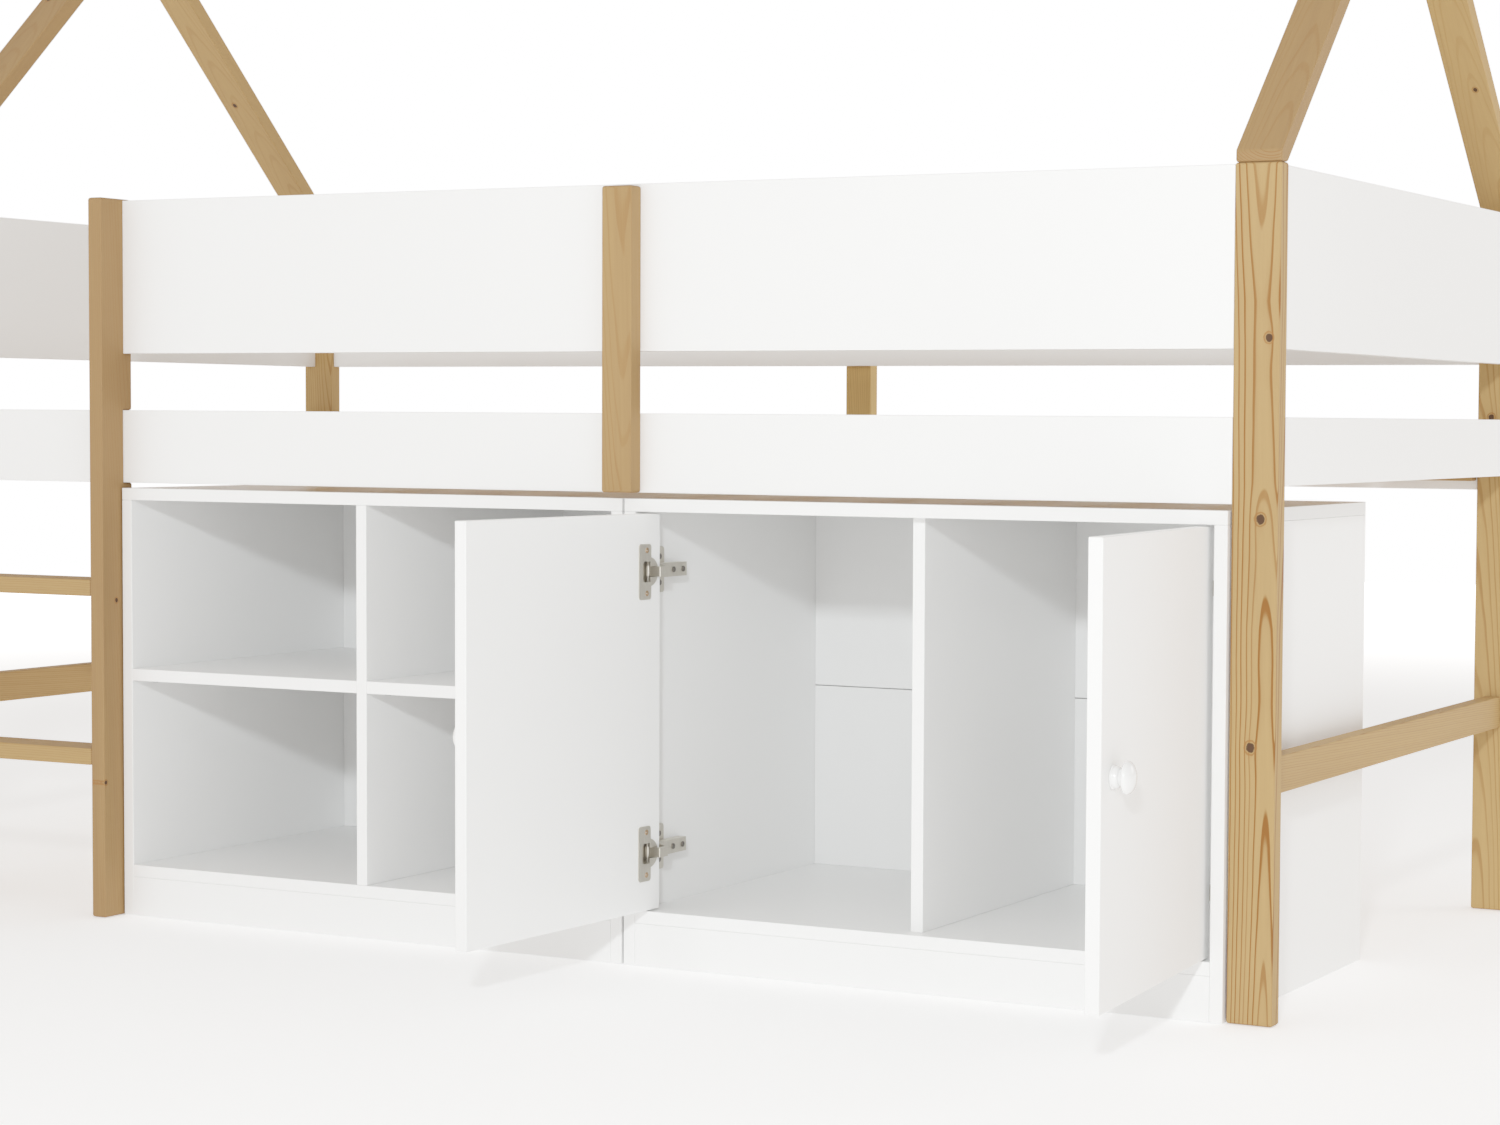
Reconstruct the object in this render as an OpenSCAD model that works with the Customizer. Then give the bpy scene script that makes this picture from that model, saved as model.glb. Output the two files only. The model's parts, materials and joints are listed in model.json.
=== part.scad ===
// Mid-height cabin bed: pine frame with a gabled roof, white guard boards, a ladder at the
// left of the front, and two floor-standing cabinets under the sleeping platform.
// Millimetres. X runs along the bed, Y from front to back, Z up. The origin is on the floor
// under the centre of the whole outline, with the two doors standing open as they are stored.

/* [Bed] */
// Length between the end boards, for a 2000 mattress
bed_inner_l = 2014; // [1850:2:2200]
// Width between the side boards, for a 900 mattress
bed_inner_w = 910; // [800:2:1200]
// Height of the corner posts
post_h = 952; // [930:1:1100]
// Width of the planks that posts and rafters are cut from
plank_w = 54; // [50:1:70]
// Thickness of the planks
plank_t = 22; // [20:0.5:28]
// How far a post stands out past the end board's outer face
post_overhang = 5; // [0:0.5:10]
// Width of the narrow planks: uprights and end rails
batten_w = 42; // [38:1:50]

/* [Boards] */
// Thickness of the white boards
board_t = 16; // [15:0.5:18]
// Height of the upper guard boards
guard_h = 202; // [160:1:240]
// Open gap between a guard board and the board below it
guard_gap = 75; // [60:1:75]
// Height of the lower boards on the long sides
side_board_h = 96; // [90:1:110]
// Height of the lower boards at the ends
end_board_h = 76; // [70:1:110]
// Drop of the boards' top edge below the top of the posts
board_drop = 2; // [0:0.5:10]
// Drop of a middle upright's top below the boards' top edge
upright_drop = 3; // [0:0.5:10]

/* [Ladder] */
// Clear width between the two ladder stiles
ladder_clear = 329; // [300:1:380]
// How far the stiles stand out in front of the boards
stile_proud = 41; // [30:1:60]
// Number of treads below the lower board
tread_count = 2; // [2:1:3]

/* [Roof] */
// Pitch of the rafters
roof_pitch = 45; // [42:1:48]
// Height of the square toe at a rafter's foot
toe_h = 12.4; // [11:0.2:16]
// Height of the ridge beam
ridge_h = 54; // [50:1:80]

/* [End rails] */
// Height of the underside of the rail between the posts at each end
end_rail_z = 252.5; // [150:0.5:400]

/* [Slatted base] */
// Depth of the slats' top below the lower boards' top edge
slat_drop = 40; // [30:1:55]
// Thickness of a slat
slat_t = 16; // [14:0.5:20]
// Width of a slat
slat_w = 75; // [60:1:85]
// Largest pitch from slat to slat
slat_pitch_max = 145; // [130:1:160]
// Height of the ledger that carries the slats
ledger_h = 28; // [24:1:34]
// Width of the ledger
ledger_w = 20; // [18:1:30]
// End play of a slat between the side boards, at each end
slat_play = 2; // [1:0.5:5]

/* [Cabinets] */
// Thickness of the cabinet panels
panel_t = 16; // [15:0.5:18]
// Depth of a cabinet from front edge to back
cab_d = 466; // [400:1:560]
// How far the cabinets' front edges stand in front of the boards
cab_proud = 6; // [0:0.5:12]
// Gap from the cabinets to the ladder stile and to the post
bay_clear = 2; // [1:0.5:6]
// Gap between the two cabinets
cab_gap = 3; // [1:0.5:8]
// Gap from a cabinet's top up to the lower board
cab_top_gap = 7; // [4:0.5:20]
// Height of the plinth under the bottom panel
plinth_h = 52; // [40:1:70]
// Height of the shelf's top face in the open cabinet
shelf_z = 330; // [250:1:380]
// Set-back of the cupboard's divider from its front edges
divider_recess = 20; // [19:0.5:30]
// Height of the joint between the two halves of a back
back_seam_z = 310; // [200:1:400]
// Width of that joint
back_seam = 1; // [0.5:0.25:2]

/* [Doors] */
// Angle at which the left door is stored, from closed
door_left_angle = 93.2; // [80:0.1:104]
// Angle at which the right door is stored, from closed
door_right_angle = 94.5; // [80:0.1:104]
// Gap along a door's hinged edge
door_side_gap = 2.5; // [2.5:0.1:3.5]
// Gap above and below a door
door_end_gap = 2; // [1.5:0.1:4]
// Gap between the two doors when shut
door_meeting_gap = 3; // [2:0.1:5]
// Distance of the knob's centre from a door's free edge
knob_inset = 36; // [30:1:70]
// Distance of the knob's centre below the door's middle
knob_drop = 3.3; // [0:0.1:20]
// Diameter of the knob's head
knob_d = 35; // [28:0.5:42]
// Length of the knob
knob_l = 24.5; // [22:0.5:28]

/* [Hinges] */
// Distance of a hinge's centre from the door's top or bottom edge
hinge_inset = 70; // [60:1:110]
// Diameter of the hinge cup
cup_d = 35; // [35:1:36]
// Depth of the cup in the door
cup_depth = 13; // [13:0.1:13.4]
// Distance of the cup's centre from the door's hinged edge
cup_inset = 22.5; // [22:0.1:24]
// Spacing of the two screws of a cup's flange
cup_screw_pitch = 52; // [48:1:56]
// Diameter of the hinge pin
pin_d = 3.2; // [3:0.1:3.6]
// Radial running clearance of the pin in the arm
pin_clear = 0.05; // [0.02:0.01:0.1]
// Distance of the mounting plate's screws behind the door's inner face
plate_set = 37; // [32:0.5:42]

/* [Hidden] */
$fn = 48;

pine = [0.83, 0.70, 0.50];
beech = [0.78, 0.62, 0.42];
white = [0.95, 0.95, 0.94];
steel = [0.66, 0.64, 0.61];

// Small overlap that lets a cut run clear through a face
cut = 0.5;

// Lengths along X, from the middle of the bed
board_in = bed_inner_l / 2;
board_out = board_in + board_t;
post_out = board_out + post_overhang;
post_in = post_out - plank_w;

// Lengths along Y, from the middle of the bed
side_in = bed_inner_w / 2;
side_out = side_in + board_t;
post_face = side_out - plank_t;

// Heights
board_top = post_h - board_drop;
guard_z = board_top - guard_h;
side_top = guard_z - guard_gap;
side_z = side_top - side_board_h;
end_z = side_top - end_board_h;
slat_top = side_top - slat_drop;
ledger_top = slat_top - slat_t;
cab_h = side_z - cab_top_gap;
opening_z0 = plinth_h + panel_t;
opening_z1 = cab_h - panel_t;

// Ladder and the bay that holds the cabinets
stile_left_x = -post_in;
stile_right_x = stile_left_x + plank_t + ladder_clear;
bay_x0 = stile_right_x + plank_t;
bay_x1 = post_in;
cab_w = (bay_x1 - bay_x0 - 2 * bay_clear - cab_gap) / 2;
open_x = bay_x0 + bay_clear;
cupboard_x = open_x + cab_w + cab_gap;

// Doors, in a hinge's own coordinates: x from the side panel's inner face towards the middle
// of the cupboard, y from the cabinet's front edges towards the back
opening_w = cab_w - 2 * panel_t;
door_w = (opening_w - 2 * door_side_gap - door_meeting_gap) / 2;
door_z0 = opening_z0 + door_end_gap;
door_z1 = opening_z1 - door_end_gap;
cup_floor = 0.8;
knuckle_r = 2.9;
knuckle_clear = 0.2;
cup_x = door_side_gap + cup_inset;
pin_inset = 11.5;
pin_x = door_side_gap + pin_inset;
pin_y = panel_t - cup_depth + cup_floor + knuckle_clear + knuckle_r;
hinge_zs = [door_z0 + hinge_inset, door_z1 - hinge_inset];
knob_z = (door_z0 + door_z1) / 2 - knob_drop;
knob_x = door_side_gap + door_w - knob_inset;

// Reach of the whole outline in front of and behind the middle of the bed
free_x = door_side_gap + door_w - pin_x;
free_y = panel_t - pin_y;
function door_reach(a) = free_x * sin(a) - free_y * cos(a) - pin_y;
door_front = max(door_reach(door_left_angle), door_reach(door_right_angle));
front_reach = side_out + max(cab_proud + door_front, stile_proud);
back_reach = side_out + plank_t;
bed_y = (front_reach - back_reach) / 2;
front_y = bed_y - side_out;
back_y = bed_y + side_out;
cab_y = front_y - cab_proud;
cab_back_y = cab_y + cab_d - panel_t;

// ---------- helpers ----------

// A box from its lowest to its highest corner
module span(lo, hi) {
    translate(lo) cube(hi - lo);
}

// Places a shape drawn for the right (sx 1) or left (sx -1), back (sy 1) or front (sy -1)
module corner(sx, sy) {
    translate([0, bed_y, 0])
        mirror([sx < 0 ? 1 : 0, 0, 0])
            mirror([0, sy < 0 ? 1 : 0, 0])
                children();
}

// A round bar or hole along X, Y or Z, from a point
module rod_x(d, l) {
    rotate([0, 90, 0]) cylinder(d = d, h = l);
}

module rod_y(d, l) {
    rotate([-90, 0, 0]) cylinder(d = d, h = l);
}

module rod_z(d, l) {
    cylinder(d = d, h = l);
}

// A flat rectangle with round corners
module rounded(lo, hi, r) {
    translate([lo[0] + r, lo[1]]) square([hi[0] - lo[0] - 2 * r, hi[1] - lo[1]]);
    translate([lo[0], lo[1] + r]) square([hi[0] - lo[0], hi[1] - lo[1] - 2 * r]);
    for (x = [lo[0] + r, hi[0] - r], y = [lo[1] + r, hi[1] - r])
        translate([x, y]) circle(r = r);
}

// A countersunk screw along -Y with its head's face at y = 0
module wood_screw(l, d = 4, head_d = 8, head_h = 2.2) {
    rotate([90, 0, 0])
        rotate_extrude()
            polygon([[0, 0], [head_d / 2, 0], [head_d / 2, 0.3], [d / 2, head_h],
                [d / 2, l - d], [0, l]]);
}

// ---------- cam fittings that hold the boards to the posts and the stile ----------

cam_d = 15;
cam_depth = 12.5;
cam_set = 34;
cam_bolt_d = 7;
cam_thread_d = 5;
cam_thread_l = 11;
// Distance of a fitting from the edges of a guard board and of a narrower board
guard_cam_edge = 36;
cam_edge = 22;
cam_bolt_reach = cam_set - 4;
cam_slot_w = 2.5;
cam_slot_l = 9;

// Heights of the two fittings at the end of a board
function edge_to_cam(h) = h == guard_h ? guard_cam_edge : cam_edge;
function cam_zs(z0, h) = [z0 + edge_to_cam(h), z0 + h - edge_to_cam(h)];

// The places of all fittings: at a board's end, pointing into the board along +X, with the
// board's inner face towards -Y. Each child is drawn at every place.
module at_long_board_ends(z0, h, sy, sx) {
    for (z = cam_zs(z0, h))
        corner(sx, sy)
            translate([post_in, side_in + board_t / 2, z])
                mirror([1, 0, 0])
                    children();
}

module at_end_board_ends(z0, h, sx) {
    for (z = cam_zs(z0, h), sy = [-1, 1])
        corner(sx, sy)
            translate([board_in + board_t / 2, post_face, z])
                rotate([0, 0, -90])
                    children();
}

module at_guard_front_stile() {
    for (z = cam_zs(guard_z, guard_h))
        translate([bay_x0, front_y + board_t / 2, z])
            mirror([0, 1, 0])
                children();
}

module at_guard_fittings() {
    at_long_board_ends(guard_z, guard_h, -1, 1) children();
    at_guard_front_stile() children();
    for (sx = [-1, 1]) {
        at_long_board_ends(guard_z, guard_h, 1, sx) children();
        at_end_board_ends(guard_z, guard_h, sx) children();
    }
}

module at_lower_fittings() {
    for (sx = [-1, 1]) {
        for (sy = [-1, 1])
            at_long_board_ends(side_z, side_board_h, sy, sx) children();
        at_end_board_ends(end_z, end_board_h, sx) children();
    }
}

module at_all_fittings() {
    at_guard_fittings() children();
    at_lower_fittings() children();
}

module cam_holes() {
    translate([-cam_thread_l, 0, 0]) rod_x(cam_thread_d, cam_thread_l + cut);
    rod_x(cam_bolt_d, cam_bolt_reach);
    translate([cam_set, -board_t / 2 - cut, 0]) rod_y(cam_d, cam_depth + cut);
}

module cam_disc() {
    translate([cam_set, -board_t / 2, 0])
        difference() {
            rod_y(cam_d, cam_depth);
            span([-cam_slot_w / 2, -cut, -cam_slot_l / 2], [cam_slot_w / 2, 1.5, cam_slot_l / 2]);
            span([-cam_slot_l / 2, -cut, -cam_slot_w / 2], [cam_slot_l / 2, 1.5, cam_slot_w / 2]);
            translate([-cam_d / 2 - cut, board_t / 2, 0]) rod_x(cam_bolt_d, 4 + cut);
        }
}

module cam_bolt() {
    translate([-cam_thread_l, 0, 0]) rod_x(cam_thread_d, cam_thread_l);
    rod_x(cam_bolt_d, cam_set - cam_d / 2 + 4);
}

// ---------- dowels of the pine frame ----------

dowel_d = 8;
dowel_in = 14;
post_dowel_in = 20;
post_dowel_up = 12;
post_dowel_set = 9;
rail_mid = (post_in + post_out) / 2;
ridge_top = post_h + toe_h + (side_out - plank_t / 2) * tan(roof_pitch);
ridge_dowel_drop = 16;
tread_step = side_top / (tread_count + 1);
tread_dowel_inset = 14;
tread_ys = [front_y - stile_proud + tread_dowel_inset, front_y + board_t - tread_dowel_inset];
rail_dowel_half_gap = 10;

module post_dowel() {
    translate([rail_mid, side_out - post_dowel_set, post_h - post_dowel_in])
        rod_z(dowel_d, post_dowel_in + post_dowel_up);
}

module rail_dowels() {
    for (dz = [-rail_dowel_half_gap, rail_dowel_half_gap])
        translate([rail_mid, post_face - dowel_in, end_rail_z + batten_w / 2 + dz])
            rod_y(dowel_d, 2 * dowel_in);
}

module ridge_dowel() {
    translate([rail_mid, -plank_t / 2 - dowel_in, ridge_top - ridge_dowel_drop])
        rod_y(dowel_d, plank_t + 2 * dowel_in);
}

// The dowels at the ends of the ladder's treads
module tread_dowels() {
    for (i = [1:tread_count], y = tread_ys, x = [stile_left_x + plank_t, stile_right_x])
        translate([x - dowel_in, y, i * tread_step - plank_t / 2])
            rod_x(dowel_d, 2 * dowel_in);
}

// ---------- pine frame ----------

module post(sx, sy) {
    color(pine)
        difference() {
            corner(sx, sy)
                span([post_in, post_face, 0], [post_out, side_out, post_h]);
            at_all_fittings() cam_holes();
            corner(sx, sy) post_dowel();
            corner(sx, sy) rail_dowels();
        }
}

module stile(x) {
    color(pine)
        difference() {
            span([x, front_y - stile_proud, 0], [x + plank_t, front_y + board_t, post_h]);
            // notch for the lower board, which runs past behind the stile
            span([x - cut, front_y, side_z], [x + plank_t + cut, front_y + board_t + cut, side_top]);
            at_guard_front_stile() cam_holes();
            tread_dowels();
        }
}

module ladder_treads() {
    color(pine)
        difference() {
            for (i = [1:tread_count])
                span([stile_left_x + plank_t, front_y - stile_proud, i * tread_step - plank_t],
                    [stile_right_x, front_y + board_t, i * tread_step]);
            tread_dowels();
        }
}

upright_x = (bay_x0 + bay_x1) / 2;
upright_top = board_top - upright_drop;
upright_screw_l = board_t + 14;
lower_screw_inset = side_board_h / 4;
upper_screw_inset = guard_h / 5;
upright_zs = [side_z + lower_screw_inset, side_top - lower_screw_inset,
    guard_z + upper_screw_inset, upright_top - upper_screw_inset];

// The screws of both middle uprights, driven from inside the bed
module at_upright_screws() {
    for (z = upright_zs) {
        translate([upright_x, front_y + board_t, z]) children();
        translate([0, back_y - board_t, z]) mirror([0, 1, 0]) children();
    }
}

module upright_screw() {
    wood_screw(upright_screw_l);
}

module upright(x, y) {
    color(pine)
        difference() {
            span([x - batten_w / 2, y, side_z], [x + batten_w / 2, y + plank_t, upright_top]);
            at_upright_screws() upright_screw();
        }
}

// A rafter's side view: square toe and level seat on the post, plumb cut at the ridge
module rafter(sx, sy) {
    rise = plank_t / cos(roof_pitch);
    seat = (rise - toe_h) / tan(roof_pitch);
    color(pine)
        difference() {
            corner(sx, sy)
                translate([post_in, 0, 0])
                    rotate([90, 0, 90])
                        linear_extrude(plank_w)
                            polygon([
                                [side_out, post_h],
                                [side_out, post_h + toe_h],
                                [plank_t / 2, ridge_top],
                                [plank_t / 2, ridge_top - rise],
                                [side_out - seat, post_h]
                            ]);
            corner(sx, sy) post_dowel();
            corner(sx, sy) ridge_dowel();
        }
}

module ridge_beam() {
    color(pine)
        difference() {
            translate([0, bed_y, 0])
                span([-post_out, -plank_t / 2, ridge_top - ridge_h], [post_out, plank_t / 2, ridge_top]);
            for (sx = [-1, 1])
                corner(sx, 1) ridge_dowel();
        }
}

module end_rail(sx) {
    color(pine)
        difference() {
            corner(sx, 1)
                span([rail_mid - plank_t / 2, -post_face, end_rail_z],
                    [rail_mid + plank_t / 2, post_face, end_rail_z + batten_w]);
            for (sy = [-1, 1])
                corner(sx, sy) rail_dowels();
        }
}

// ---------- white boards ----------

module guard_front() {
    color(white)
        difference() {
            span([bay_x0, front_y, guard_z], [post_in, front_y + board_t, board_top]);
            at_guard_fittings() cam_holes();
            at_upright_screws() upright_screw();
        }
}

module long_board(sy, z0, z1) {
    color(white)
        difference() {
            corner(1, sy)
                span([-post_in, side_in, z0], [post_in, side_out, z1]);
            at_all_fittings() cam_holes();
            at_upright_screws() upright_screw();
        }
}

module end_board(sx, z0, z1) {
    color(white)
        difference() {
            corner(sx, 1)
                span([board_in, -post_face, z0], [board_out, post_face, z1]);
            at_all_fittings() cam_holes();
        }
}

module cam_discs() {
    color(steel) at_all_fittings() cam_disc();
}

module cam_bolts() {
    color(steel) at_all_fittings() cam_bolt();
}

module upright_screws() {
    color(steel) at_upright_screws() upright_screw();
}

// ---------- slatted base ----------

slat_run = 2 * post_in - 2 * slat_play;
slat_n = ceil((slat_run - slat_w) / slat_pitch_max) + 1;
slat_pitch = (slat_run - slat_w) / (slat_n - 1);

module slat_ledgers() {
    color(pine)
        for (sy = [-1, 1])
            corner(1, sy)
                span([-post_in + slat_play, side_in - ledger_w, ledger_top - ledger_h],
                    [post_in - slat_play, side_in, ledger_top]);
}

module bed_slats() {
    color(pine)
        for (i = [0:slat_n - 1])
            translate([-slat_run / 2 + i * slat_pitch, bed_y, 0])
                span([0, -side_in + slat_play, ledger_top], [slat_w, side_in - slat_play, slat_top]);
}

// ---------- cabinet panels ----------

cab_dowel_l = 24;
cab_dowel_in = 10;
cab_dowel_inset = 60;
cab_dowel_ys = [cab_y + cab_dowel_inset, cab_y + cab_d - cab_dowel_inset];

// The dowels from a cabinet's sides up into its top and across into its bottom
module cabinet_dowels(x0) {
    for (y = cab_dowel_ys, s = [0, 1]) {
        x = s == 0 ? x0 : x0 + cab_w - panel_t;
        translate([x + panel_t / 2, y, opening_z1 - (cab_dowel_l - cab_dowel_in)])
            rod_z(dowel_d, cab_dowel_l);
        translate([s == 0 ? x + panel_t - cab_dowel_in : x - (cab_dowel_l - cab_dowel_in),
            y, plinth_h + panel_t / 2])
            rod_x(dowel_d, cab_dowel_l);
    }
}

pin_support_d = 5;
pin_support_l = 8;
pin_support_inset = 40;

// The pins under the four corners of each shelf, half of each in a panel
module shelf_pin_rows() {
    xs = [open_x + panel_t, open_x + cab_w / 2 - panel_t / 2,
        open_x + cab_w / 2 + panel_t / 2, open_x + cab_w - panel_t];
    for (x = xs, y = [cab_y + pin_support_inset, cab_back_y - pin_support_inset])
        translate([x - pin_support_l, y, shelf_z - panel_t - pin_support_d / 2])
            rod_x(pin_support_d, 2 * pin_support_l);
}

module cab_top(x0) {
    color(white)
        difference() {
            span([x0, cab_y, opening_z1], [x0 + cab_w, cab_y + cab_d, cab_h]);
            cabinet_dowels(x0);
        }
}

module cab_side(x0, x) {
    color(white)
        difference() {
            span([x, cab_y, 0], [x + panel_t, cab_y + cab_d, opening_z1]);
            cabinet_dowels(x0);
            shelf_pin_rows();
            hinge_plate_screws();
        }
}

module cab_bottom(x0) {
    color(white)
        difference() {
            span([x0 + panel_t, cab_y, plinth_h], [x0 + cab_w - panel_t, cab_y + cab_d, opening_z0]);
            cabinet_dowels(x0);
        }
}

module cab_divider(x0, recess) {
    color(white)
        difference() {
            span([x0 + (cab_w - panel_t) / 2, cab_y + recess, opening_z0],
                [x0 + (cab_w + panel_t) / 2, cab_back_y, opening_z1]);
            shelf_pin_rows();
        }
}

module cab_plinths(x0) {
    color(white)
        for (y = [cab_y, cab_y + cab_d - panel_t])
            span([x0 + panel_t, y, 0], [x0 + cab_w - panel_t, y + panel_t, plinth_h]);
}

module cab_backs(x0) {
    color(white) {
        span([x0 + panel_t, cab_back_y, opening_z0],
            [x0 + cab_w - panel_t, cab_back_y + panel_t, back_seam_z - back_seam / 2]);
        span([x0 + panel_t, cab_back_y, back_seam_z + back_seam / 2],
            [x0 + cab_w - panel_t, cab_back_y + panel_t, opening_z1]);
    }
}

module open_unit_shelves() {
    clear_w = (cab_w - 3 * panel_t) / 2;
    color(white)
        for (x = [open_x + panel_t, open_x + 2 * panel_t + clear_w])
            span([x, cab_y, shelf_z - panel_t], [x + clear_w, cab_back_y, shelf_z]);
}

module shelf_pins() {
    color(steel) shelf_pin_rows();
}

module dowels() {
    color(beech) {
        for (sx = [-1, 1]) {
            corner(sx, 1) ridge_dowel();
            for (sy = [-1, 1]) {
                corner(sx, sy) post_dowel();
                corner(sx, sy) rail_dowels();
            }
        }
        tread_dowels();
        cabinet_dowels(open_x);
        cabinet_dowels(cupboard_x);
    }
}

// ---------- hinges: parts on the cabinet ----------

// Places a shape drawn in a hinge's own coordinates at the left or right door's hinge side
module hinge_side(sx) {
    x = sx < 0 ? cupboard_x + panel_t : cupboard_x + cab_w - panel_t;
    translate([x, cab_y, 0])
        mirror([sx < 0 ? 0 : 1, 0, 0])
            children();
}

plate_y = panel_t + plate_set;
plate_screw_z = 16;
plate_screw_l = 12;
plate_wing_t = 2.5;
plate_wing = [18, 56];
plate_corner = 4;
plate_block = [6.5, 36, 14];
arm_x0 = 4;
arm_x1 = 16;
arm_sheet = 1.5;
arm_nose = 4.5;
arm_y0 = 30;
arm_y1 = 93;
arm_wall_in = 7.2;
arm_wall_out = 8.5;
crank_t = 3;
crank_h = 12;
crank_x = cup_x + 6;
crank_y = panel_t + 7;
crank_elbow = [arm_x1 + 4, arm_y0 + 1];
crank_root = [arm_x1 - crank_t / 2, arm_y0 + 5];
adjust_d = 7;
adjust_ys = [62, 84];
adjust_h = 1.2;
adjust_slot = [5, 1, 0.7];

module at_hinges() {
    for (sx = [-1, 1], z = hinge_zs)
        hinge_side(sx) translate([0, 0, z]) children();
}

// The screws of the mounting plates, pointing into the side panel
module hinge_plate_screws() {
    at_hinges()
        for (dz = [-plate_screw_z, plate_screw_z])
            translate([plate_wing_t, plate_y, dz])
                rotate([0, 0, -90])
                    wood_screw(plate_screw_l + plate_wing_t, 4, 7, plate_wing_t);
}

module hinge_plates() {
    color(steel)
        difference() {
            at_hinges()
                union() {
                    translate([0, plate_y, 0])
                        rotate([90, 0, 90])
                            linear_extrude(plate_wing_t)
                                rounded(-plate_wing / 2, plate_wing / 2, plate_corner);
                    span([0, plate_y - plate_block[1] / 2, -plate_block[2] / 2],
                        [plate_block[0], plate_y + plate_block[1] / 2, plate_block[2] / 2]);
                }
            hinge_plate_screws();
        }
}

// A straight bar of the crank, seen from above, with round ends
module bar(a, b) {
    d = b - a;
    translate(a) circle(d = crank_t);
    translate(b) circle(d = crank_t);
    translate(a)
        rotate(atan2(d[1], d[0]))
            translate([0, -crank_t / 2])
                square([norm(d), crank_t]);
}

// The crank reaches from the arm round the door's hinged edge to the pin inside the cup
module crank() {
    path = [[pin_x, pin_y], [crank_x, pin_y], [crank_x, crank_y], crank_elbow, crank_root];
    difference() {
        translate([0, 0, -crank_h / 2])
            linear_extrude(crank_h)
                union() {
                    for (i = [0:len(path) - 2])
                        bar(path[i], path[i + 1]);
                    translate(path[0]) circle(r = knuckle_r);
                }
        translate([pin_x, pin_y, -crank_h])
            cylinder(r = pin_d / 2 + pin_clear, h = 2 * crank_h);
    }
}

module hinge_arms() {
    color(steel)
        difference() {
            at_hinges()
                union() {
                    crank();
                    difference() {
                        span([arm_x0, arm_y0, -arm_wall_out], [arm_x1, arm_y1, arm_wall_out]);
                        span([arm_x0 - cut, arm_y0 + arm_nose, -arm_wall_in],
                            [arm_x1 - arm_sheet, arm_y1 + cut, arm_wall_in]);
                    }
                }
            at_hinges() adjusting_screws();
        }
}

// The two cross-slotted adjusting screws on top of an arm
module adjusting_screws() {
    for (y = adjust_ys)
        translate([arm_x1 - arm_sheet, y, 0])
            difference() {
                rod_x(adjust_d, arm_sheet + adjust_h);
                for (turn = [0, 90])
                    translate([arm_sheet + adjust_h - adjust_slot[2], 0, 0])
                        rotate([turn, 0, 0])
                            span([0, -adjust_slot[1] / 2, -adjust_slot[0] / 2],
                                [adjust_slot[2] + cut, adjust_slot[1] / 2, adjust_slot[0] / 2]);
            }
}

module hinge_screws() {
    color(steel) {
        hinge_plate_screws();
        at_hinges() adjusting_screws();
    }
}

// ---------- doors and what rides on them ----------

// Places a shape drawn on a shut door at the angle at which that door is stored
module on_door(sx) {
    angle = sx < 0 ? door_left_angle : door_right_angle;
    hinge_side(sx)
        translate([pin_x, pin_y, 0])
            rotate([0, 0, -angle])
                translate([-pin_x, -pin_y, 0])
                    children();
}

flange_t = 1.2;
flange_u = [19.5, 44];
flange_h = 67;
flange_corner = 4;
window_u = [cup_inset - 1, cup_inset + 14];
window_h = 25;
crank_clear = 0.4;
flange_screw_u = 28;
flange_screw_l = 12;
knob_screw_d = 4;
knob_screw_in = 15;
knob_screw_out = 12;

module door_hinge_cups(d, depth) {
    for (z = hinge_zs)
        translate([cup_x, panel_t - depth, z])
            rod_y(d, depth);
}

module door_fixings() {
    for (z = hinge_zs, dz = [-cup_screw_pitch / 2, cup_screw_pitch / 2])
        translate([door_side_gap + flange_screw_u, panel_t + flange_t, z + dz])
            wood_screw(flange_screw_l + flange_t, 3.5, 7, flange_t);
    // the knob's double-ended screw, half in the knob and half in the door
    translate([knob_x, -knob_screw_in, knob_z])
        rod_y(knob_screw_d, knob_screw_out + knob_screw_in);
}

module door(sx) {
    color(white)
        on_door(sx)
            difference() {
                span([door_side_gap, 0, door_z0], [door_side_gap + door_w, panel_t, door_z1]);
                door_hinge_cups(cup_d, cup_depth);
                door_fixings();
            }
}

// The cup's pressed flange, seen from inside the cupboard: a plate with the two screws and a
// round lobe over the cup, open where the crank swings through it
module flange_outline() {
    cup_r = cup_d / 2;
    difference() {
        union() {
            rounded([flange_u[0], -flange_h / 2], [flange_u[1], flange_h / 2], flange_corner);
            translate([cup_inset, 0]) circle(r = cup_r);
        }
        intersection() {
            translate([cup_inset, 0]) circle(r = cup_r - cup_floor);
            union() {
                translate([0, -crank_h / 2 - crank_clear])
                    square([window_u[1], crank_h + 2 * crank_clear]);
                translate([window_u[0], -window_h / 2])
                    square([window_u[1] - window_u[0], window_h]);
            }
        }
    }
}

module hinge_cups(sx) {
    color(steel)
        on_door(sx)
            difference() {
                union() {
                    difference() {
                        door_hinge_cups(cup_d, cup_depth);
                        for (z = hinge_zs)
                            translate([cup_x, panel_t - cup_depth + cup_floor, z])
                                rod_y(cup_d - 2 * cup_floor, cup_depth);
                    }
                    for (z = hinge_zs)
                        translate([door_side_gap, panel_t + flange_t, z])
                            rotate([90, 0, 0])
                                linear_extrude(flange_t)
                                    flange_outline();
                }
                door_fixings();
                pin_rods();
            }
}

// The pins lie across the cups, near the hinged side, and end in the cups' walls
module pin_rods() {
    intersection() {
        for (z = hinge_zs)
            translate([pin_x, pin_y, z - cup_d / 2])
                rod_z(pin_d, cup_d);
        door_hinge_cups(cup_d - cup_floor, cup_depth);
    }
}

module hinge_pins(sx) {
    color(steel) on_door(sx) pin_rods();
}

module door_screws(sx) {
    color(steel) on_door(sx) door_fixings();
}

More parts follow.
